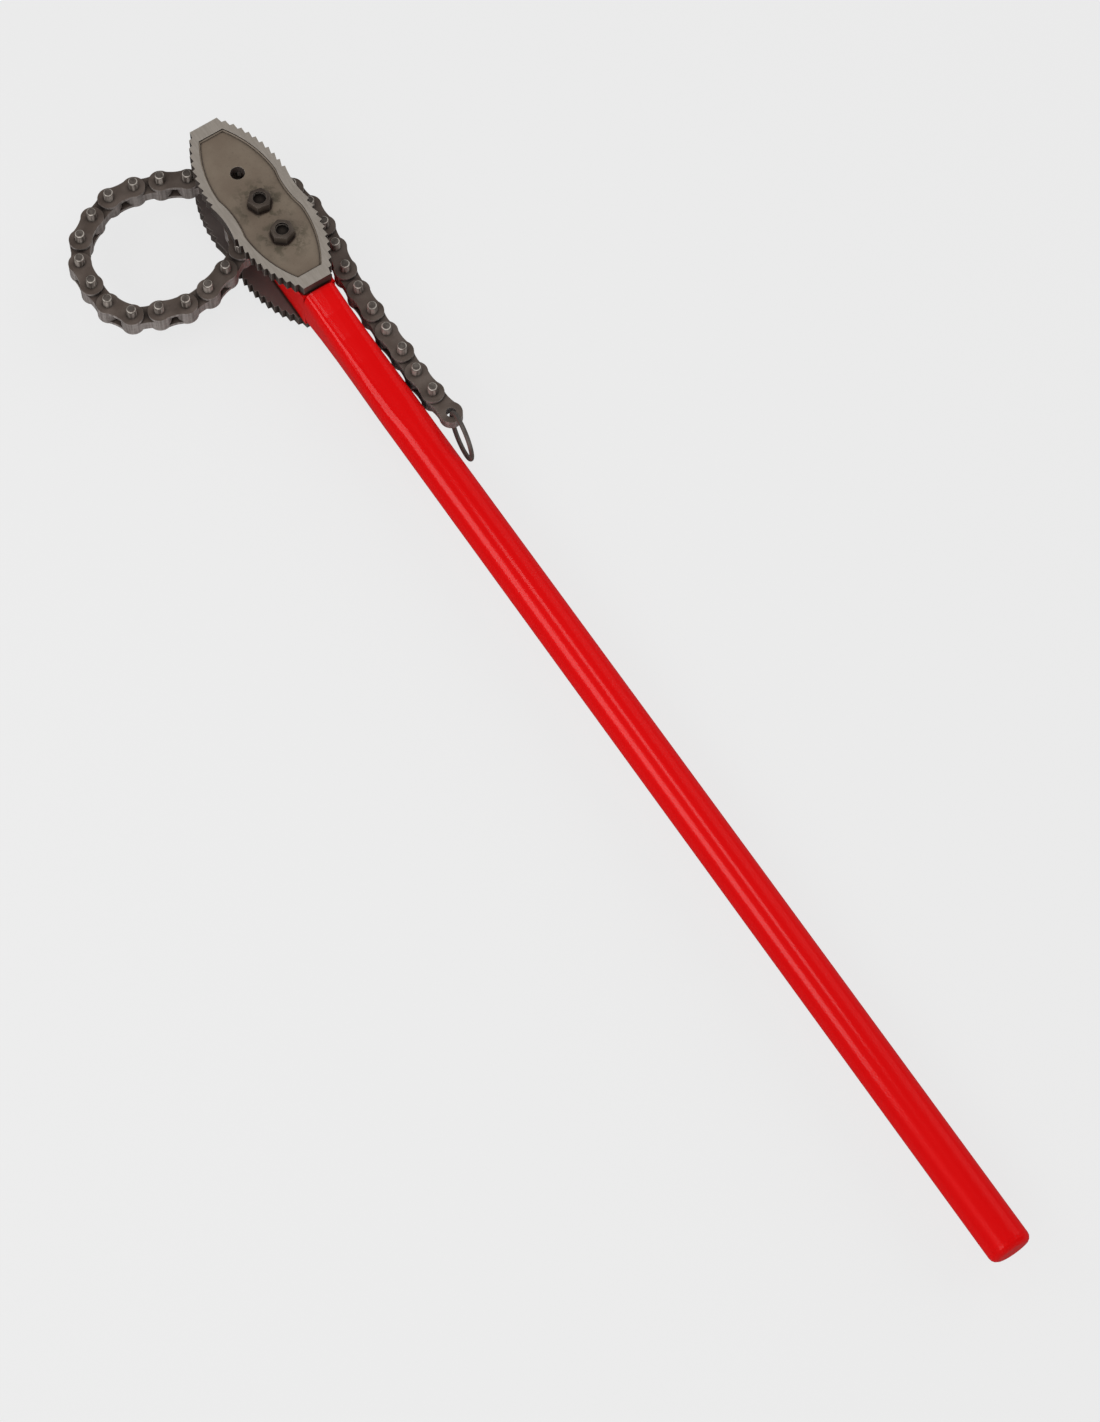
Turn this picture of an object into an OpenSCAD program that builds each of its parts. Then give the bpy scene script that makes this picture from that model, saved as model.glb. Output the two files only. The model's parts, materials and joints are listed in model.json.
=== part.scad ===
// Chain pipe wrench: two toothed jaw plates bolted to a forged handle, with a
// flat-link chain held on the middle bolt. The tool lies on its back: x runs from
// the jaws to the grip, z is square to the jaw plates.

/* [Jaws] */
// Length of a jaw plate
jaw_len = 145; // [120:1:180]
// Width of a jaw plate at its cut ends
jaw_end_w = 21.4; // [16:0.5:30]
// Width across the shoulders, where the teeth begin
jaw_shoulder_w = 58.6; // [50:0.2:70]
// Length of the hollow waist between the shoulders
jaw_waist_len = 29; // [20:1:40]
// Length of the small flat on a shoulder, between the hollow and the first tooth
shoulder_flat = 0.6; // [0.2:0.1:3]
// Depth of the hollow in each side of the waist
jaw_waist_dip = 1.7; // [0.5:0.1:4]
// Thickness of a jaw plate
jaw_t = 9; // [6:0.5:14]
// Outward bow of a toothed edge
tooth_bow = 5.3; // [0:0.1:8]
// Distance from tooth to tooth
tooth_pitch = 5.5; // [3:0.1:8]
// Depth of a tooth
tooth_depth = 2.1; // [1:0.1:4]
// Length of a tooth's steep flank along the edge
tooth_steep = 1.2; // [0.5:0.1:2.5]
// Width of the raised rim along the teeth
rim_w = 6.7; // [4:0.1:10]
// Width of the raised rim at the cut ends
rim_end_w = 8.1; // [5:0.1:15]
// Depth of the sunk panel inside the rim
panel_depth = 2; // [0.5:0.1:3]
// Free space between the two jaw plates
jaw_gap = 35; // [30:0.5:50]

/* [Bolts] */
// Distance between the bolt holes of a jaw
hole_pitch = 28.7; // [24:0.1:34]
// Diameter of a jaw bolt
bolt_d = 9.5; // [8:0.1:11]
// Play of a bolt in its hole, on the diameter
bolt_play = 0.6; // [0.2:0.1:1.5]
// Width of a nut or a bolt head across its flats
nut_flats = 14.3; // [12:0.1:20]
// Height of a nut
nut_h = 8.3; // [5:0.1:12]
// Height of a bolt head
bolt_head_h = 6.2; // [4:0.1:10]
// How far a bolt's end stays below the top of its nut
bolt_end_below = 3.5; // [0:0.1:5]
// How far the round outer face of a nut or head stays inside its flats
nut_face_in = 0.8; // [0.2:0.1:1]
// Turn of the middle nut, which points a corner towards the grip
middle_nut_turn = 20; // [0:1:59]
// Turn of the rear nut
rear_nut_turn = 50; // [0:1:59]

/* [Handle] */
// Length of the whole wrench, from jaw tip to handle end
total_len = 942; // [600:1:1300]
// Width of the oval shank
shank_w = 29.4; // [22:0.1:36]
// Thickness of the oval shank
shank_t = 24.8; // [18:0.1:32]
// Radius of the narrow sides of the oval shank
shank_side_r = 8.5; // [5:0.5:10]
// Rounding of the handle's free end
end_round = 5; // [1:0.5:8]
// Width of the head where it enters between the jaws
neck_w = 24.8; // [22:0.2:32]
// Step of the neck above the jaws' inner faces
neck_step = 1.5; // [0:0.5:3]
// Squareness of the neck at the jaws, where 2 is an ellipse
neck_square = 5; // [2.5:0.5:8]
// Squareness of the neck where it meets the shank
neck_low_square = 2.2; // [2:0.1:3]
// Length over which the square neck becomes the oval shank
neck_len = 120; // [60:5:200]

/* [Chain] */
// Distance from pin to pin
pitch = 18.5; // [16:0.1:24]
// Number of links
links = 31; // [27:2:41]
// Width of a link plate round its pin
lobe_w = 15.8; // [12:0.1:18]
// Width of a link plate at its waist
link_waist_w = 12.7; // [8:0.1:15]
// Thickness of an inner plate
inner_t = 3.9; // [2:0.1:5]
// Thickness of an outer plate
outer_t = 2.5; // [2:0.1:4]
// Sideways play between two plates
plate_play = 0.15; // [0.1:0.05:0.4]
// Diameter of a chain pin
pin_d = 6.8; // [5:0.1:8]
// Length of a chain pin, which stands out on both sides
pin_len = 28.4; // [22:0.2:34]
// Bevel on the ends of a chain pin
pin_bevel = 0.9; // [0.2:0.1:1.5]
// Running play of a pin or the anchor bolt in its plate, on the radius
running_play = 0.06; // [0.03:0.01:0.1]

/* [Fork] */
// Free space between the fork's rounded nose and the first chain pin
fork_space = 3.6; // [2:0.1:6]
// Play between the chain and the fork's cheeks, each side
fork_play = 0.4; // [0.2:0.1:1]
// Radius of the bosses that guide the anchor link
boss_r = 8; // [7:0.5:9]
// Wall between the fork's slot and the rear bolt hole
slot_wall = 5; // [3:0.5:6]
// Length over which the fork widens to the neck
flare_len = 8; // [4:0.5:20]

/* [Ring] */
// Outer diameter of the pull ring
ring_d = 36; // [30:1:50]
// Wire diameter of the pull ring
ring_wire = 3.2; // [2:0.1:4]
// Gap between the pulled-out ring and the hole that it hangs in
ring_seat = 0.3; // [0.2:0.1:0.6]

/* [Lie of the chain] */
// Heading of the anchor link
anchor_heading = -103; // [-110:1:-92]
// Space between the handle's side and the chain where it comes out of the jaws
tail_space = 9.6; // [8:0.1:30]
// Turn of the pull ring against the end link
ring_turn = -17; // [-20:1:20]

/* [Hidden] */
$fn = 64;
eps = 0.01;
red = "#d20f0f";
steel = "#96918a";
chain_steel = "#554e48";
dark_steel = "#3c3a38";

// Turn of the chain at each pin, one after another from the anchor
lie = [
    81, -41, -8, -14, -22, -7, -37, -24, -11, -26,
    -24, -13, -26, -13, -11, 4, -2, -14, -22, -18,
    -10, -7, -3, 7, 2, 0, 4, -4, 5, 5
];

// Heights: the middle plane of the jaws and the chain is mid_z above the lowest face
panel_z = jaw_gap / 2 + jaw_t - panel_depth;
mid_z = panel_z + bolt_head_h;
jaw_half = jaw_len / 2;
handle_end = total_len - jaw_half;
hole_d = bolt_d + bolt_play;

// Chain layers, measured from the middle plane
inner_top = plate_play / 2 + inner_t;
outer_low = inner_top + plate_play;
outer_top = outer_low + outer_t;
lobe_r = lobe_w / 2;

// Fork
nose_r = pitch - pin_d / 2 - fork_space;
slot_half = outer_top + fork_play;
slot_end = hole_pitch - hole_d / 2 - slot_wall;
neck_x = jaw_half + neck_step;

// Route of the chain. The stretch between the two hidden pins turn_in and turn_out is
// swung so that the chain comes out of the jaws beside the handle, clear of its side.
turn_in = 17;
turn_out = 22;
function lie_at(k) = k < len(lie) ? lie[k] : 0;
function heading(k, swing) =
    k == 0 ? anchor_heading
    : heading(k - 1, swing) + lie_at(k - 1) + (k == turn_in ? swing : k == turn_out ? -swing : 0);
function step(a) = pitch * [cos(a), sin(a)];
function walk(heads, from, to) = from >= to ? [0, 0] : step(heads[from]) + walk(heads, from + 1, to);
plain_heads = [for (k = [0:links - 1]) heading(k, 0)];
reach = walk(plain_heads, turn_in, turn_out);
start_y = walk(plain_heads, 0, turn_in).y;
tail_y = shank_w / 2 + lobe_r + tail_space;
swing = asin((tail_y - start_y) / norm(reach)) - atan2(reach.y, reach.x);
heads = [for (k = [0:links - 1]) heading(k, swing)];
pins = [for (k = [0:links]) walk(heads, 0, k)];

// The origin is the middle of the footprint, on the surface that the wrench lies on
tip_low = min(min([for (p = pins) p.x]) - lobe_r, -jaw_half);
side_low = min([for (p = pins) p.y]) - lobe_r;
side_high = max(max([for (p = pins) p.y]) + lobe_r, jaw_shoulder_w / 2);
origin = [(handle_end + tip_low) / 2, (side_low + side_high) / 2, -mid_z];

inner_ids = [for (k = [2:2:links - 2]) k];
outer_ids = [for (k = [1:2:links - 1]) k];
function two_digits(k) = k < 9 ? str("0", k + 1) : str(k + 1);
function inner_name(k) = str("inner_link_", two_digits(k));
function plates_name(k) = str("outer_plates_", two_digits(k));
function pins_name(k) = str("rivet_pins_", two_digits(k));

// Moves a shape from the middle bolt's axis and the middle plane to the part's frame
module placed() {
    translate(-origin) children();
}

// Runs a flat profile along x, from x0 for a length
module along_x(x0, length) {
    translate([x0, 0, 0])
        rotate([90, 0, 90])
            linear_extrude(length) children();
}

// Jaw outline: one toothed edge runs from a shoulder to a cut end on a bowed line
hollow_half = jaw_waist_len / 2;
shoulder = [hollow_half + shoulder_flat, jaw_shoulder_w / 2];
jaw_corner = [jaw_half, jaw_end_w / 2];
edge_run = jaw_corner - shoulder;
edge_out = [-edge_run.y, edge_run.x] / norm(edge_run);
teeth = floor(norm(edge_run) / tooth_pitch);
function on_edge(t, inset) = shoulder + t * edge_run + (4 * tooth_bow * t * (1 - t) - inset) * edge_out;
steep_share = tooth_steep / tooth_pitch;
toothed_edge = concat(
    [for (i = [0:teeth - 1]) each [
        on_edge(i / teeth, 0),
        on_edge((i + steep_share) / teeth, tooth_depth)
    ]],
    [jaw_corner]
);
function mirrored(list, sx, sy) = [for (p = list) [sx * p.x, sy * p.y]];
function reversed(list) = [for (i = [len(list) - 1:-1:0]) list[i]];
function all_round(edge) = concat(
    edge,
    reversed(mirrored(edge, 1, -1)),
    mirrored(edge, -1, -1),
    reversed(mirrored(edge, -1, 1))
);
waist_r = (pow(hollow_half, 2) + pow(jaw_waist_dip, 2)) / (2 * jaw_waist_dip);

module waist_hollows(r) {
    for (side = [-1, 1])
        translate([0, side * (shoulder.y + waist_r - jaw_waist_dip)])
            circle(r, $fn = 180);
}

// Panel edge: the bowed line moved in by the rim, between its own corners
panel_steps = 10;
panel_from = 0.12;
panel_to = 1 - rim_end_w / edge_run.x;
panel_edge = [
    for (i = [0:panel_steps])
        on_edge(panel_from + (panel_to - panel_from) * i / panel_steps, rim_w)
];

// A jaw plate with its sunk panel on top
module jaw_plate() {
    difference() {
        linear_extrude(jaw_t)
            difference() {
                polygon(all_round(toothed_edge));
                waist_hollows(waist_r);
            }
        translate([0, 0, jaw_t - panel_depth])
            linear_extrude(jaw_t)
                difference() {
                    polygon(all_round(panel_edge));
                    waist_hollows(waist_r + rim_w);
                }
        for (x = [-hole_pitch, 0, hole_pitch])
            translate([x, 0, -eps])
                cylinder(d = hole_d, h = jaw_t);
    }
}

module front_jaw() {
    color(steel)
        placed()
            translate([0, 0, jaw_gap / 2])
                jaw_plate();
}

module back_jaw() {
    color(steel)
        placed()
            mirror([0, 0, 1])
                translate([0, 0, jaw_gap / 2])
                    jaw_plate();
}

// Oval of four arcs that run into each other
module oval(w, t, side_r) {
    reach_w = w / 2 - side_r;
    top_r = (pow(reach_w, 2) + pow(t / 2, 2) - pow(side_r, 2)) / (t - 2 * side_r);
    meet = reach_w * top_r / (top_r - side_r);
    for (side = [-1, 1])
        translate([side * reach_w, 0])
            circle(side_r);
    intersection() {
        translate([0, t / 2 - top_r])
            circle(top_r);
        translate([0, top_r - t / 2])
            circle(top_r);
        square([2 * meet, t], center = true);
    }
}

module shank_section(inset) {
    oval(shank_w - 2 * inset, shank_t - 2 * inset, shank_side_r - inset);
}

// Neck section at a share of its length: a squarish top that rounds off and gets thinner
neck_points = 40;
neck_steps = 6;
function power(v, n) = sign(v) * pow(abs(v), 2 / n);
function eased(share) = pow(share, 2) * (3 - 2 * share);
function squarish(w, t, n) = [
    for (a = [0:360 / neck_points:359])
        [w / 2 * power(cos(a), n), t / 2 * power(sin(a), n)]
];

module neck_section(share) {
    neck_t = jaw_gap + 2 * neck_step;
    if (share < 1)
        polygon(squarish(
            neck_w + (shank_w - neck_w) * eased(share),
            shank_t + (neck_t - shank_t) * pow(1 - share, 3),
            neck_low_square + (neck_square - neck_low_square) * pow(1 - share, 2)
        ));
    else
        shank_section(0, $fn = 48);
}

// Plan of the head between the jaws: a round nose that widens to the neck
module head_plan() {
    circle(nose_r);
    polygon([
        [0, -nose_r],
        [slot_end, -nose_r],
        [slot_end + flare_len, -neck_w / 2],
        [neck_x, -neck_w / 2],
        [neck_x, neck_w / 2],
        [slot_end + flare_len, neck_w / 2],
        [slot_end, nose_r],
        [0, nose_r]
    ]);
}

// Slot of the fork, which leaves a boss on each cheek round the middle bolt
module fork_slot() {
    width = 2 * pitch;
    boss_gap = inner_top + plate_play;
    difference() {
        translate([-width, -width / 2, -slot_half])
            cube([width + slot_end, width, 2 * slot_half]);
        for (side = [0, 1])
            mirror([0, 0, side])
                translate([0, 0, boss_gap])
                    cylinder(r = boss_r, h = slot_half);
    }
}

// Steps of the rounding at the handle's end
end_steps = 4;

module handle() {
    shank_x = neck_x + neck_len;
    color(red)
        placed()
            difference() {
                union() {
                    translate([0, 0, -jaw_gap / 2])
                        linear_extrude(jaw_gap) head_plan();
                    for (i = [0:neck_steps - 1])
                        hull() {
                            for (k = [i, i + 1])
                                along_x(neck_x + neck_len * k / neck_steps, eps)
                                    neck_section(k / neck_steps);
                        }
                    along_x(shank_x, handle_end - end_round - shank_x) shank_section(0);
                    hull() {
                        for (a = [0:90 / end_steps:90])
                            along_x(handle_end - end_round * (1 - sin(a)) - eps, eps)
                                shank_section(end_round * (1 - cos(a)), $fn = 32);
                    }
                }
                fork_slot();
                for (x = [0, hole_pitch])
                    translate([x, 0, -jaw_gap])
                        cylinder(d = hole_d, h = 2 * jaw_gap);
            }
}

module hexagon(h) {
    cylinder(d = nut_flats / cos(30), h = h, $fn = 6);
}

// Chamfered hexagon, as bolt heads and nuts have on their outer side
module chamfered_hexagon(h) {
    corner_r = nut_flats / cos(30) / 2;
    face_r = nut_flats / 2 - nut_face_in;
    intersection() {
        hexagon(h);
        rotate_extrude()
            polygon([
                [0, 0],
                [corner_r, 0],
                [corner_r, h - (corner_r - face_r) / 2],
                [face_r, h],
                [0, h]
            ]);
    }
}

// A jaw bolt: its head sits on the back panel and its end stays inside the nut
module jaw_bolt() {
    mirror([0, 0, 1])
        translate([0, 0, panel_z])
            chamfered_hexagon(bolt_head_h);
    translate([0, 0, -panel_z])
        cylinder(d = bolt_d, h = 2 * panel_z + nut_h - bolt_end_below);
}

module jaw_bolts() {
    color(dark_steel)
        placed()
            for (x = [0, hole_pitch])
                translate([x, 0, 0])
                    jaw_bolt();
}

// A nut on the front panel, with its hexagon turned as it was left when tightened
module jaw_nut(turn) {
    translate([0, 0, panel_z])
        difference() {
            rotate(turn) chamfered_hexagon(nut_h);
            translate([0, 0, -eps])
                cylinder(d = bolt_d, h = nut_h + 2 * eps);
        }
}

module jaw_nuts() {
    color(dark_steel)
        placed() {
            jaw_nut(middle_nut_turn);
            translate([hole_pitch, 0, 0]) jaw_nut(rear_nut_turn);
        }
}

// Outline of a link plate: two round lobes with a waist between them
module link_outline() {
    dip = (lobe_w - link_waist_w) / 2;
    span = pitch / 2;
    hollow_r = (pow(span, 2) + pow(dip, 2) - pow(lobe_r, 2) + pow(link_waist_w / 2, 2) + dip * link_waist_w)
        / (2 * dip);
    centre = link_waist_w / 2 + hollow_r;
    meet = lobe_r / (lobe_r + hollow_r);
    for (x = [0, pitch])
        translate([x, 0])
            circle(lobe_r);
    difference() {
        polygon([
            [span * meet, centre * meet],
            [pitch - span * meet, centre * meet],
            [pitch - span * meet, -centre * meet],
            [span * meet, -centre * meet]
        ]);
        for (side = [-1, 1])
            translate([span, side * centre])
                circle(hollow_r, $fn = 120);
    }
}

// A link plate of thickness t with its two holes
module link_plate(t, near_r, far_r) {
    difference() {
        linear_extrude(t) link_outline();
        translate([0, 0, -t]) cylinder(r = near_r, h = 3 * t);
        translate([pitch, 0, -t]) cylinder(r = far_r, h = 3 * t);
    }
}

// Puts link number k where it lies
module on_link(k) {
    placed()
        translate([pins[k].x, pins[k].y, 0])
            rotate(heads[k])
                children();
}

module plate_pair(low, t, near_r, far_r) {
    for (side = [0, 1])
        mirror([0, 0, side])
            translate([0, 0, low])
                link_plate(t, near_r, far_r);
}

pin_hole_r = pin_d / 2 + running_play;

module inner_link(k, near_r) {
    color(chain_steel)
        on_link(k)
            plate_pair(plate_play / 2, inner_t, near_r, pin_hole_r);
}

module outer_plates(k) {
    color(chain_steel)
        on_link(k)
            plate_pair(outer_low, outer_t, pin_d / 2, pin_d / 2);
}

// A pin turned from bar, with bevelled ends
module rivet_pin() {
    rotate_extrude()
        polygon([
            [0, -pin_len / 2],
            [pin_d / 2 - pin_bevel, -pin_len / 2],
            [pin_d / 2, pin_bevel - pin_len / 2],
            [pin_d / 2, pin_len / 2 - pin_bevel],
            [pin_d / 2 - pin_bevel, pin_len / 2],
            [0, pin_len / 2]
        ]);
}

module rivet_pins(k) {
    color(chain_steel)
        on_link(k)
            for (x = [0, pitch])
                translate([x, 0, 0])
                    rivet_pin();
}

// The pull ring stands upright in the free hole of the end link
module pull_ring() {
    ring_r = (ring_d - ring_wire) / 2;
    wire_bow = ring_r - sqrt(pow(ring_r, 2) - pow(inner_top, 2));
    pulled_out = pin_hole_r - ring_wire / 2 - wire_bow - ring_seat;
    color(dark_steel)
        placed()
            translate([pins[links].x, pins[links].y, 0])
                rotate(heads[links - 1] + ring_turn)
                    translate([ring_r + pulled_out, 0, 0])
                        rotate([90, 0, 0])
                            rotate_extrude()
                                translate([ring_r, 0])
                                    circle(d = ring_wire);
}

handle();
front_jaw();
back_jaw();
jaw_bolts();
jaw_nuts();
inner_link(0, bolt_d / 2 + running_play);  // anchor_link
for (k = inner_ids) inner_link(k, pin_hole_r);
for (k = outer_ids) outer_plates(k);
for (k = outer_ids) rivet_pins(k);
inner_link(links - 1, pin_hole_r);  // end_link
pull_ring();
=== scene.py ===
"""Looks of the chain pipe wrench: finishes, threads, fillets, light and the photograph's camera."""
import json
import math

import bmesh
import bpy
from mathutils import Matrix, Vector


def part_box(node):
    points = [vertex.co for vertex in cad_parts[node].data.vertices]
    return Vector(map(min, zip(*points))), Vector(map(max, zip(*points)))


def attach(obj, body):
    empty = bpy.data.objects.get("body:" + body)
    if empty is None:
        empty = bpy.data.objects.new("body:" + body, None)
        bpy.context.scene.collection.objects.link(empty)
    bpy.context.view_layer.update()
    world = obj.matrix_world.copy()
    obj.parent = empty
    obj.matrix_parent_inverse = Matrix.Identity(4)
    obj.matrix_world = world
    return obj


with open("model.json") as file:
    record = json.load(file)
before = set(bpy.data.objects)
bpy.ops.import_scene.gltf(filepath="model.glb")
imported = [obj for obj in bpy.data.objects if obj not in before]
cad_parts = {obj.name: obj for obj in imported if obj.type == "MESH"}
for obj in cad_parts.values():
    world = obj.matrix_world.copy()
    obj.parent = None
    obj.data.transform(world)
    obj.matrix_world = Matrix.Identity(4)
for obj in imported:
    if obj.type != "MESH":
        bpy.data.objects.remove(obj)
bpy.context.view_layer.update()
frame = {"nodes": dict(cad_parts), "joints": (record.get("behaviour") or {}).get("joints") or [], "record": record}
nodes = frame["nodes"]

MM = 0.001

# Places in the frame, in metres; the names that end in _Z count from the middle plane, at MID_Z
JOINTS = {j["name"]: Vector(j["pos_m"]) for j in frame["joints"]}
ANCHOR = JOINTS["anchor_turn"]
MID_Z = ANCHOR.z
JAW_LOW, JAW_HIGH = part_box("front_jaw")
NUT_LOW, NUT_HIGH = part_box("jaw_nuts")
PANEL_Z = NUT_LOW.z - MID_Z
RIM_Z = JAW_HIGH.z - MID_Z
JAW_GAP_Z = JAW_LOW.z - MID_Z
PIN_TOP_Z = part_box("rivet_pins_02")[1].z - MID_Z
BOLT_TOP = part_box("jaw_bolts")[1].z
NUT_X = (ANCHOR.x, NUT_HIGH.x + NUT_LOW.x - ANCHOR.x)

# Camera: measured from the middle bolt's axis at the middle plane
VIEW_ELEVATION = math.radians(65.49)
VIEW_AZIMUTH = math.radians(-33.63)
VIEW_ROLL = math.radians(0.30)
VIEW_DISTANCE = 2.973
AIM = ANCHOR + Vector((0.41037, -0.03681, 0.0))
IMAGE_WIDTH_PX = 1100
FOCAL_PX = 4616
SENSOR_MM = 36.0
CLIP_END = 100

# Floor and sky: the brightness that the camera sees, the glowing share of the floor, the sky's
# light on the part, and what is left of the glow and of the sky in reflections
PALE = 0.83
FLOOR_SIZE = 40.0
FLOOR_DROP = 0.2 * MM
FLOOR_GLOW = 0.9
FLOOR_IN_REFLECTIONS = 0.04
SKY = 0.47
SKY_IN_REFLECTIONS = 0.04

# Two broad suns that leave no reflection, one from the far side and one from the near side:
# name, direction to the lamp, strength, spread in degrees
SUNS = (
    ("overhead", (0.1, 2.2, 1.6), 1.05, 50),
    ("front_fill", (0.55, -0.75, 0.45), 0.52, 60),
)

# Lamp panels that lie along the handle, for its bright lines and a low fill: name, direction to
# the lamp, distance, length, width, radiance, and the place along the handle that the panel faces,
# counted from the middle bolt
SOFT_BOXES = (
    ("left_line", (-0.345, -0.686, 0.640), 1.2, 0.80, 0.46, 2.8, 0.45),
    ("middle_line", (-0.345, 0.04, 0.938), 1.2, 0.55, 0.24, 2.8, 0.53),
    ("right_panel", (-0.345, 0.80, 0.48), 1.2, 1.8, 0.7, 0.25, 0.38),
    ("low_fill", (0.65, -0.45, 0.55), 1.5, 1.2, 0.6, 1.2, 0.0),
)

# Thread seen in the nuts, 16 turns to the inch
THREAD_PITCH = 1.588 * MM
THREAD_WALL_R = 4.745 * MM
THREAD_CREST_R = 4.25 * MM
THREAD_HALF_WIDTH = 0.42 * THREAD_PITCH
THREAD_STEPS = 48
THREAD_FADE_STEPS = THREAD_STEPS / 2
THREAD_ABOVE_BOLT = 0.7 * MM
THREAD_BELOW_FACE = 0.8 * MM

# Rounding at the foot of the panel's wall
FILLET_R = 1.2 * MM
FILLET_STEPS = 8
FILLET_CORNER_COS = 0.5
LEVEL_SLACK = 0.05 * MM
FLAT_SLACK = 1e-4
MICROMETRES_IN_METRE = 1e6

# Finishes: samples of the shader nodes, and how wide the bright edges are, worn and partly a painted highlight
CORNER_SAMPLES = 8
BEVEL_SAMPLES = 6
BRIGHT_EDGE_RADIUS = 0.5 * MM


class Shader:
    """A node material built step by step, on object coordinates that move with the part."""

    def __init__(self, name):
        self.material = bpy.data.materials.new(name)
        self.material.use_nodes = True
        self.tree = self.material.node_tree
        self.tree.nodes.clear()
        self.surface = self.node("ShaderNodeBsdfPrincipled")
        self.output = self.node("ShaderNodeOutputMaterial")
        self.link(self.surface.outputs["BSDF"], self.output.inputs["Surface"])
        self.place = self.node("ShaderNodeTexCoord").outputs["Object"]

    def node(self, kind, **settings):
        made = self.tree.nodes.new(kind)
        for key, value in settings.items():
            setattr(made, key, value)
        return made

    def link(self, source, target):
        self.tree.links.new(source, target)

    def put(self, target, value):
        """Links a socket, or sets a plain value."""
        if isinstance(value, bpy.types.NodeSocket):
            self.link(value, target)
        else:
            target.default_value = value

    def set(self, socket, value):
        self.put(self.surface.inputs[socket], value)

    def math(self, operation, a, b=0.0, clamp=False):
        made = self.node("ShaderNodeMath", operation=operation, use_clamp=clamp)
        self.put(made.inputs[0], a)
        self.put(made.inputs[1], b)
        return made.outputs[0]

    def ramp(self, value, low, high, out_low=0.0, out_high=1.0):
        made = self.node("ShaderNodeMapRange", clamp=True, interpolation_type="SMOOTHSTEP")
        self.put(made.inputs["Value"], value)
        limits = {"From Min": low, "From Max": high, "To Min": out_low, "To Max": out_high}
        for key, number in limits.items():
            made.inputs[key].default_value = number
        return made.outputs["Result"]

    def mix(self, factor, a, b):
        # Sockets 6, 7 and output 2 are the ones for colours
        made = self.node("ShaderNodeMix", data_type="RGBA")
        self.put(made.inputs[0], factor)
        self.put(made.inputs[6], a)
        self.put(made.inputs[7], b)
        return made.outputs[2]

    def stretched(self, scale):
        made = self.node("ShaderNodeMapping")
        self.link(self.place, made.inputs["Vector"])
        made.inputs["Scale"].default_value = scale
        return made.outputs["Vector"]

    def noise(self, scale, detail=4.0, roughness=0.55, vector=None):
        made = self.node("ShaderNodeTexNoise")
        self.link(vector or self.place, made.inputs["Vector"])
        made.inputs["Scale"].default_value = scale
        made.inputs["Detail"].default_value = detail
        made.inputs["Roughness"].default_value = roughness
        return made.outputs["Fac"]

    def height_z(self):
        """Height above or below the middle plane, as a positive number."""
        split = self.node("ShaderNodeSeparateXYZ")
        self.link(self.place, split.inputs[0])
        return self.math("ABSOLUTE", self.math("SUBTRACT", split.outputs["Z"], MID_Z))

    def facing_z(self):
        """One where the surface faces straight up or down, nought where it stands upright."""
        geometry = self.node("ShaderNodeNewGeometry")
        turn = self.node("ShaderNodeVectorTransform", vector_type="NORMAL")
        turn.convert_from = "WORLD"
        turn.convert_to = "OBJECT"
        self.link(geometry.outputs["True Normal"], turn.inputs[0])
        split = self.node("ShaderNodeSeparateXYZ")
        self.link(turn.outputs[0], split.inputs[0])
        return self.math("ABSOLUTE", split.outputs["Z"])

    def near(self, point, far, close):
        """One within close of a point, nought beyond far."""
        made = self.node("ShaderNodeVectorMath", operation="DISTANCE")
        self.link(self.place, made.inputs[0])
        made.inputs[1].default_value = point
        return self.ramp(made.outputs["Value"], close, far, out_low=1.0, out_high=0.0)

    def crevice(self, distance):
        """Nought deep in a corner, one in the open."""
        made = self.node("ShaderNodeAmbientOcclusion", samples=CORNER_SAMPLES)
        made.inputs["Distance"].default_value = distance
        return made.outputs["AO"]

    def edge(self):
        """One along sharp edges, nought on flat faces."""
        bevel = self.node("ShaderNodeBevel", samples=BEVEL_SAMPLES)
        bevel.inputs["Radius"].default_value = BRIGHT_EDGE_RADIUS
        geometry = self.node("ShaderNodeNewGeometry")
        dot = self.node("ShaderNodeVectorMath", operation="DOT_PRODUCT")
        self.link(bevel.outputs[0], dot.inputs[0])
        self.link(geometry.outputs["Normal"], dot.inputs[1])
        return self.ramp(dot.outputs["Value"], 0.995, 0.8)

    def bump(self, height, strength, distance, bevel_radius=None):
        made = self.node("ShaderNodeBump")
        made.inputs["Strength"].default_value = strength
        made.inputs["Distance"].default_value = distance
        self.link(height, made.inputs["Height"])
        if bevel_radius:
            bevel = self.node("ShaderNodeBevel", samples=BEVEL_SAMPLES)
            bevel.inputs["Radius"].default_value = bevel_radius
            self.link(bevel.outputs[0], made.inputs["Normal"])
        self.set("Normal", made.outputs["Normal"])


def colour(r, g, b):
    """A colour given as the eye reads it on screen, 0 to 255."""
    def linear(c):
        c /= 255
        return c / 12.92 if c <= 0.04045 else ((c + 0.055) / 1.055) ** 2.4
    return linear(r), linear(g), linear(b), 1.0


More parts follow.
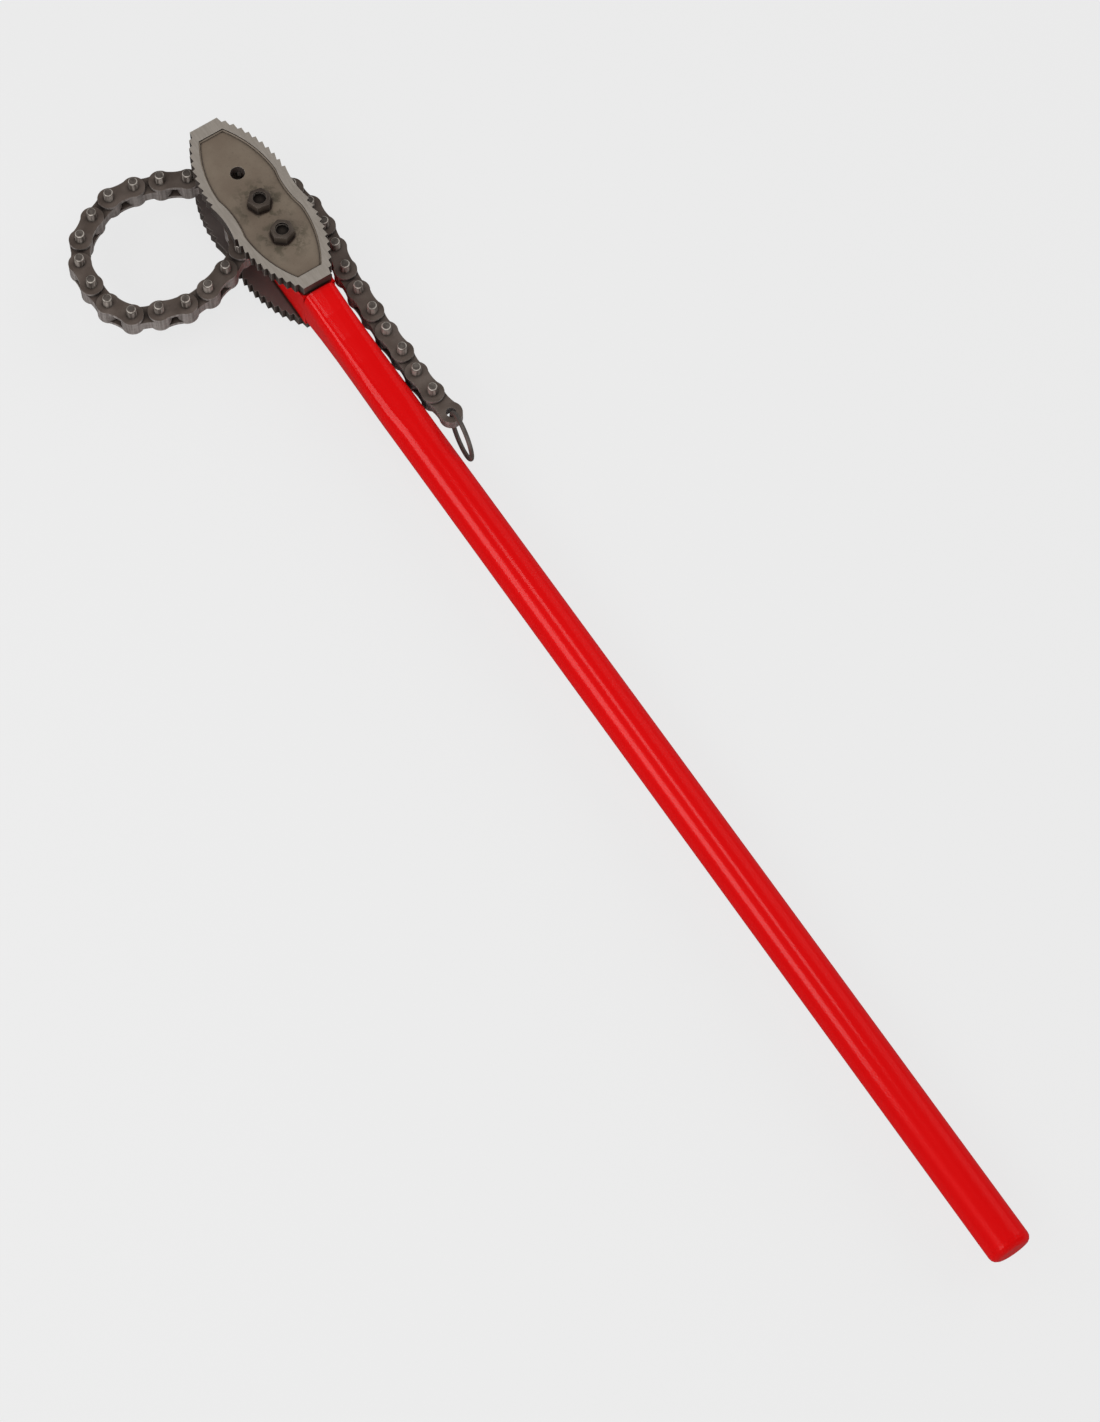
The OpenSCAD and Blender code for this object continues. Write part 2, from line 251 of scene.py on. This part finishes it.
def red_paint():
    """Glossy enamel with a slight flow and faint dulling, and painted shade in the corners."""
    s = Shader("red_paint")
    flow = s.noise(9.0, detail=3.0, vector=s.stretched((0.25, 1.0, 1.0)))
    dust = s.noise(160.0, detail=5.0)
    base = s.mix(s.ramp(flow, 0.3, 0.7), colour(216, 3, 5), colour(223, 6, 7))
    base = s.mix(s.ramp(dust, 0.62, 0.8, out_high=0.12), base, colour(150, 12, 12))
    # Painted shade: the red goes darker where the surface is hemmed in, in the corners next to the jaws
    base = s.mix(s.ramp(s.crevice(6 * MM), 0.35, 0.95), colour(70, 8, 8), base)
    s.set("Base Color", base)
    s.set("Metallic", 0.15)
    s.set("Roughness", s.ramp(dust, 0.3, 0.8, out_low=0.37, out_high=0.42))
    s.set("Specular IOR Level", 0.05)
    s.set("Coat Weight", 0.45)
    s.set("Coat Roughness", 0.15)
    s.set("IOR", 1.5)
    s.bump(s.noise(120.0, detail=2.0), strength=0.004, distance=0.2 * MM)
    return s.material


def jaw_steel():
    """Ground satin rim and a darker forged panel, with bright edges that are worn and partly a painted highlight,
    painted shade on the upright faces, between the jaws and in the corners, and painted light and shade on the
    panel's fillet.
    """
    s = Shader("jaw_steel")
    height = s.height_z()
    rim = s.ramp(height, PANEL_Z + 0.5 * MM, RIM_Z - 0.2 * MM)
    outer = s.ramp(height, JAW_GAP_Z + 0.2 * MM, JAW_GAP_Z + 0.8 * MM)
    grind = s.noise(900.0, detail=3.0, vector=s.stretched((0.12, 1.0, 1.0)))
    cloud = s.noise(38.0, detail=5.0)
    speck = s.noise(700.0, roughness=0.7)
    panel = s.mix(s.ramp(cloud, 0.3, 0.75), colour(115, 101, 87), colour(129, 116, 101))
    panel = s.mix(s.ramp(speck, 0.55, 0.75, out_high=0.35), panel, colour(84, 74, 64))
    nut_feet = [(x, ANCHOR.y, NUT_LOW.z) for x in NUT_X]
    by_nuts = s.math("MAXIMUM", *[s.near(foot, far=24 * MM, close=10 * MM) for foot in nut_feet])
    smear = s.noise(150.0, detail=5.0, roughness=0.65)
    grease = s.math("MULTIPLY", by_nuts, s.ramp(smear, 0.48, 0.6))
    panel = s.mix(s.math("MULTIPLY", grease, 0.7), panel, colour(78, 72, 58))
    ground = s.mix(s.ramp(grind, 0.3, 0.7), colour(144, 136, 127), colour(154, 146, 137))
    ground = s.mix(s.ramp(cloud, 0.5, 0.8, out_high=0.5), ground, colour(128, 118, 108))
    # Painted shade: the inner faces between the two jaws take a darker copy of the panel's colour
    inside = s.mix(s.ramp(cloud, 0.3, 0.7), colour(86, 76, 73), colour(102, 92, 88))
    # Painted shade: upright faces, the tooth flanks and the panel's wall, are darker than the flat faces, and
    # darker again in their corners
    flank = s.mix(s.ramp(cloud, 0.3, 0.7), colour(62, 54, 50), colour(86, 77, 72))
    flank = s.mix(s.ramp(s.crevice(5 * MM), 0.3, 0.8), colour(30, 24, 21), flank)
    face = s.mix(outer, inside, s.mix(rim, panel, ground))
    level = s.facing_z()
    # Upright faces take the painted shade of the flanks
    base = s.mix(s.ramp(level, 0.3, 0.7), flank, face)
    # Bright edges: worn metal, and partly a painted highlight along the edges
    base = s.mix(s.math("MULTIPLY", s.edge(), 0.6), base, colour(190, 183, 174))
    # Painted shade: a dark line along the foot of the panel's wall, below the rim, where the corner is hemmed in
    sunk = s.ramp(height, RIM_Z - 0.05 * MM, RIM_Z - 0.25 * MM)
    foot_shade = s.math("MULTIPLY", sunk, s.ramp(s.crevice(2.4 * MM), 0.97, 0.72))
    base = s.mix(foot_shade, base, colour(42, 29, 22))
    # Painted light and shade on the sloped faces below the rim, the panel's fillet: steep parts dark as if shaded,
    # shallow parts light as if lit
    hollow = s.math("MULTIPLY", s.ramp(level, 0.02, 0.1), s.ramp(level, 0.995, 0.96))
    hollow = s.math("MULTIPLY", hollow, sunk)
    slope_light_and_shade = s.mix(s.ramp(level, 0.35, 0.5), colour(40, 28, 21), colour(136, 123, 109))
    base = s.mix(s.math("MULTIPLY", hollow, 0.9), base, slope_light_and_shade)
    s.set("Base Color", base)
    s.set("Metallic", 0.2)
    s.set("Roughness", s.ramp(speck, 0.3, 0.8, out_low=0.42, out_high=0.6))
    s.bump(speck, strength=0.25, distance=0.12 * MM, bevel_radius=0.5 * MM)
    return s.material


def oiled_steel(name, dark, light, rough):
    """Dark steel with a thin film of oil, browner and duller in patches."""
    s = Shader(name)
    cloud = s.noise(90.0, detail=5.0)
    grain = s.noise(1300.0, roughness=0.7)
    base = s.mix(s.ramp(cloud, 0.3, 0.75), dark, light)
    base = s.mix(s.ramp(grain, 0.5, 0.8, out_high=0.35), base, colour(58, 48, 43))
    s.set("Metallic", 0.25)
    s.set("Specular IOR Level", 0.25)
    s.set("Roughness", s.ramp(grain, 0.3, 0.8, out_low=rough, out_high=rough + 0.16))
    s.bump(grain, strength=0.22, distance=0.1 * MM, bevel_radius=0.4 * MM)
    return s, base


def painted_lit_sides(s, base, low, high):
    """Painted light: upright faces lighter than the flat ones, with streaks across the plate that stand as a
    painted highlight.
    """
    upright = s.ramp(s.facing_z(), 0.7, 0.3)
    highlight_streak = s.noise(520.0, detail=3.0, roughness=0.6, vector=s.stretched((1.0, 1.0, 0.06)))
    return s.mix(upright, base, s.mix(s.ramp(highlight_streak, 0.34, 0.66), low, high))


def shaded_corners_bright_edges(s, base, depth, dark_from, edge_brightness):
    """Painted shade in the corners, then bright metal along the edges, worn and partly a painted highlight."""
    # Painted shade: darker where the surface is hemmed in, between links, under and in the nuts, and in holes
    base = s.mix(s.ramp(s.crevice(depth), dark_from, 0.95), colour(26, 21, 19), base)
    # Bright edges: worn metal, and partly a painted highlight along the edges and thread crests
    base = s.mix(s.math("MULTIPLY", s.edge(), edge_brightness), base, colour(158, 148, 140))
    s.set("Base Color", base)
    return s.material


def chain_steel():
    s, base = oiled_steel("chain_steel", colour(88, 77, 70), colour(106, 95, 88), 0.40)
    # Painted light on the chain plates' upright faces
    base = painted_lit_sides(s, base, colour(124, 116, 112), colour(160, 152, 148))
    return shaded_corners_bright_edges(s, base, depth=4 * MM, dark_from=0.25, edge_brightness=0.4)


def pin_steel():
    """The chain's steel with painted highlight streaks along the pin, and dull end faces within a painted
    highlight on the bevel.
    """
    s, base = oiled_steel("pin_steel", colour(84, 76, 70), colour(100, 92, 86), 0.34)
    # Painted highlight streaks on the pins' sides
    base = painted_lit_sides(s, base, colour(78, 70, 65), colour(172, 163, 155))
    height = s.height_z()
    top = s.ramp(height, PIN_TOP_Z - 0.14 * MM, PIN_TOP_Z - 0.02 * MM)
    tip = s.ramp(height, PIN_TOP_Z - 0.75 * MM, PIN_TOP_Z - 0.45 * MM)
    bevel = s.math("SUBTRACT", tip, top, clamp=True)
    ends = s.noise(300.0, detail=3.0)
    end_face = s.mix(s.ramp(ends, 0.35, 0.7), colour(80, 73, 68), colour(104, 97, 91))
    # Painted highlight on the bevel round the pin's end
    bevel_highlight = s.mix(s.ramp(ends, 0.3, 0.6), colour(112, 104, 97), colour(196, 188, 179))
    base = s.mix(top, base, end_face)
    base = s.mix(bevel, base, bevel_highlight)
    return shaded_corners_bright_edges(s, base, depth=4 * MM, dark_from=0.2, edge_brightness=0.2)


def bolt_steel():
    s, base = oiled_steel("bolt_steel", colour(68, 59, 53), colour(88, 79, 71), 0.34)
    return shaded_corners_bright_edges(s, base, depth=9 * MM, dark_from=0.42, edge_brightness=0.5)


def ring_steel():
    s, base = oiled_steel("ring_steel", colour(84, 78, 74), colour(112, 106, 101), 0.30)
    return shaded_corners_bright_edges(s, base, depth=3 * MM, dark_from=0.2, edge_brightness=0.0)


MAKERS = {
    "red_paint": red_paint,
    "jaw_steel": jaw_steel,
    "chain_steel": chain_steel,
    "pin_steel": pin_steel,
    "bolt_steel": bolt_steel,
    "ring_steel": ring_steel,
}
MATERIALS = {slot: make() for slot, make in MAKERS.items()}

for part in frame["record"]["subparts"]:
    mesh = nodes[part["node"]].data
    mesh.materials.clear()
    mesh.materials.append(MATERIALS[part["material_slot"]])


def new_piece(name, shape, material):
    """Turns a finished shape into an object of one material."""
    bmesh.ops.recalc_face_normals(shape, faces=shape.faces)
    mesh = bpy.data.meshes.new(name)
    shape.to_mesh(mesh)
    shape.free()
    piece = bpy.data.objects.new(name, mesh)
    bpy.context.scene.collection.objects.link(piece)
    mesh.materials.append(material)
    return piece


def join_rings(shape, one, two):
    """Faces between two closed rings of points, one after the other."""
    count = len(one)
    for i in range(count):
        j = (i + 1) % count
        shape.faces.new((one[i], one[j], two[j], two[i]))


def thread_in_nut(name, centre, low, high):
    """Crests of the nut's thread, seen in its open hole above the bolt's end."""
    count = (high - low) / THREAD_PITCH * THREAD_STEPS
    half = Vector((0, 0, THREAD_HALF_WIDTH))
    shape = bmesh.new()
    rings = []
    for i in range(int(count) + 1):
        angle = math.tau * i / THREAD_STEPS
        out = Vector((math.cos(angle), math.sin(angle), 0))
        fade = min(1.0, i / THREAD_FADE_STEPS, (count - i) / THREAD_FADE_STEPS)
        crest_r = THREAD_WALL_R - (THREAD_WALL_R - THREAD_CREST_R) * fade
        middle = centre + Vector((0, 0, low + THREAD_PITCH * i / THREAD_STEPS))
        rings.append([
            shape.verts.new(middle + out * THREAD_WALL_R - half),
            shape.verts.new(middle + out * crest_r),
            shape.verts.new(middle + out * THREAD_WALL_R + half),
        ])
    for one, two in zip(rings, rings[1:]):
        join_rings(shape, one, two)
    shape.faces.new(rings[0][::-1])
    shape.faces.new(rings[-1])
    piece = new_piece(name, shape, MATERIALS["bolt_steel"])
    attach(piece, "wrench")


def outline_loop(jaw, level):
    """Corner points of the sunk panel's floor, in order round its outer edge."""
    mesh = nodes[jaw].data
    points = [v.co.copy() for v in mesh.vertices]

    def key(i):
        return round(points[i].x * MICROMETRES_IN_METRE), round(points[i].y * MICROMETRES_IN_METRE)

    place, sides = {}, {}
    for face in mesh.polygons:
        if abs(abs(face.normal.z) - 1) > FLAT_SLACK or abs(face.center.z - level) > LEVEL_SLACK:
            continue
        for a, b in face.edge_keys:
            place[key(a)], place[key(b)] = points[a], points[b]
            edge = frozenset((key(a), key(b)))
            sides[edge] = sides.get(edge, 0) + 1
    border = {}
    for edge, uses in sides.items():
        if uses == 1 and len(edge) == 2:
            a, b = edge
            border.setdefault(a, []).append(b)
            border.setdefault(b, []).append(a)
    start = min(border)
    loop, last, here = [start], None, start
    while True:
        after = next(n for n in border[here] if n != last)
        if after == start:
            return [place[k].copy() for k in loop]
        loop.append(after)
        last, here = here, after


def panel_fillet(name, jaw, level, up):
    """A hollow rounding between the sunk panel's floor and its wall."""
    loop = outline_loop(jaw, level)
    area = sum(a.x * b.y - b.x * a.y for a, b in zip(loop, loop[1:] + loop[:1]))
    if area < 0:
        loop.reverse()
    turns = [math.pi / 2 * i / FILLET_STEPS for i in range(FILLET_STEPS + 1)]
    profile = [(1 - math.cos(t), 1 - math.sin(t)) for t in turns] + [(0.0, 0.0)]
    shape = bmesh.new()
    rings = []
    for before, here, after in zip(loop[-1:] + loop, loop, loop[1:] + loop[:1]):
        one, two = (here - before).normalized(), (after - here).normalized()
        inward = Vector((-one.y - two.y, one.x + two.x, 0)).normalized()
        miter = 1 / max(FILLET_CORNER_COS, inward.dot(Vector((-one.y, one.x, 0))))
        across, rise = inward * (miter * FILLET_R), Vector((0, 0, up * FILLET_R))
        rings.append([shape.verts.new(here + across * x + rise * z) for x, z in profile])
    for one, two in zip(rings, rings[1:] + rings[:1]):
        join_rings(shape, one, two)
    piece = new_piece(name, shape, MATERIALS["jaw_steel"])
    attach(piece, "wrench")


for thread_name, nut_x in zip(("middle_nut_thread", "rear_nut_thread"), NUT_X):
    thread_in_nut(
        thread_name,
        Vector((nut_x, ANCHOR.y, 0)),
        BOLT_TOP + THREAD_ABOVE_BOLT,
        NUT_HIGH.z - THREAD_BELOW_FACE,
    )
panel_fillet("panel_fillet_front", "front_jaw", NUT_LOW.z, 1)
panel_fillet("panel_fillet_back", "back_jaw", 2 * MID_Z - NUT_LOW.z, -1)


def pale_floor():
    """A pale floor that keeps a faint shadow and is dim in reflections."""
    bpy.ops.mesh.primitive_plane_add(size=FLOOR_SIZE, location=(0, 0, -FLOOR_DROP))
    floor = bpy.context.object
    floor.name = "floor"
    paint = Shader("floor_pale")
    paint.set("Base Color", (PALE, PALE, PALE, 1))
    paint.set("Roughness", 0.9)
    paint.set("Specular IOR Level", 0.1)
    glow = paint.node("ShaderNodeEmission")
    glow.inputs["Color"].default_value = (PALE, PALE, PALE, 1)
    blend = paint.node("ShaderNodeMixShader")
    path = paint.node("ShaderNodeLightPath").outputs
    seen = paint.math("MAXIMUM", path["Is Camera Ray"], path["Is Glossy Ray"])
    seen = paint.math("MAXIMUM", seen, path["Is Transmission Ray"])
    in_mirror = path["Is Glossy Ray"]
    strength = paint.ramp(in_mirror, 0.0, 1.0, out_low=1.0, out_high=FLOOR_IN_REFLECTIONS)
    paint.put(blend.inputs[0], paint.math("MULTIPLY", seen, FLOOR_GLOW))
    paint.put(glow.inputs["Strength"], strength)
    paint.link(paint.surface.outputs["BSDF"], blend.inputs[1])
    paint.link(glow.outputs["Emission"], blend.inputs[2])
    paint.link(blend.outputs["Shader"], paint.output.inputs["Surface"])
    floor.data.materials.append(paint.material)


def white_sky():
    """A white sky that lights the part, dim in reflections and pale to the camera."""
    world = bpy.data.worlds.new("studio")
    bpy.context.scene.world = world
    world.use_nodes = True
    tree = world.node_tree
    sky = tree.nodes["Background"]
    sky.inputs["Color"].default_value = (1, 1, 1, 1)
    path = tree.nodes.new("ShaderNodeLightPath").outputs
    dimmed = tree.nodes.new("ShaderNodeMapRange")
    tree.links.new(path["Is Glossy Ray"], dimmed.inputs["Value"])
    dimmed.inputs["To Min"].default_value = SKY
    dimmed.inputs["To Max"].default_value = SKY_IN_REFLECTIONS
    level = tree.nodes.new("ShaderNodeMapRange")
    tree.links.new(path["Is Camera Ray"], level.inputs["Value"])
    tree.links.new(dimmed.outputs["Result"], level.inputs["To Min"])
    level.inputs["To Max"].default_value = PALE
    tree.links.new(level.outputs["Result"], sky.inputs["Strength"])


def new_lamp(name, kind, energy):
    data = bpy.data.lights.new(name, kind)
    data.energy = energy
    item = bpy.data.objects.new(name, data)
    bpy.context.scene.collection.objects.link(item)
    return item


def sun(name, direction, strength, spread):
    """A broad sun that shows in no reflection."""
    item = new_lamp(name, "SUN", strength)
    item.data.angle = math.radians(spread)
    item.location = direction
    item.rotation_euler = (-Vector(direction)).to_track_quat("-Z", "Y").to_euler()
    item.visible_glossy = False


def soft_box(name, direction, distance, length, width, radiance, along_handle):
    """A lamp panel along the handle, given by the light that it sends out."""
    item = new_lamp(name, "AREA", radiance * math.pi * length * width)
    item.data.shape = "RECTANGLE"
    item.data.size = length
    item.data.size_y = width
    back = Vector(direction).normalized()
    along = (Vector((1, 0, 0)) - back * back.x).normalized()
    pose = Matrix((along, back.cross(along), back)).transposed().to_4x4()
    pose.translation = ANCHOR + Vector((along_handle, 0, 0)) + back * distance
    item.matrix_world = pose


def camera():
    """The photograph's camera, level but for a slight roll."""
    data = bpy.data.cameras.new("photo_camera")
    data.sensor_fit = "HORIZONTAL"
    data.sensor_width = SENSOR_MM
    data.lens = SENSOR_MM * FOCAL_PX / IMAGE_WIDTH_PX
    data.clip_end = CLIP_END
    item = bpy.data.objects.new("photo_camera", data)
    bpy.context.scene.collection.objects.link(item)
    level = math.cos(VIEW_ELEVATION)
    back = Vector((
        level * math.cos(VIEW_AZIMUTH),
        level * math.sin(VIEW_AZIMUTH),
        math.sin(VIEW_ELEVATION),
    ))
    right = Vector((-math.sin(VIEW_AZIMUTH), math.cos(VIEW_AZIMUTH), 0))
    right = Matrix.Rotation(VIEW_ROLL, 3, back) @ right
    pose = Matrix((right, back.cross(right), back)).transposed().to_4x4()
    pose.translation = AIM + VIEW_DISTANCE * back
    item.matrix_world = pose
    bpy.context.scene.camera = item


pale_floor()
white_sky()
for settings in SUNS:
    sun(*settings)
for settings in SOFT_BOXES:
    soft_box(*settings)
camera()
bpy.context.scene.view_settings.view_transform = "Standard"
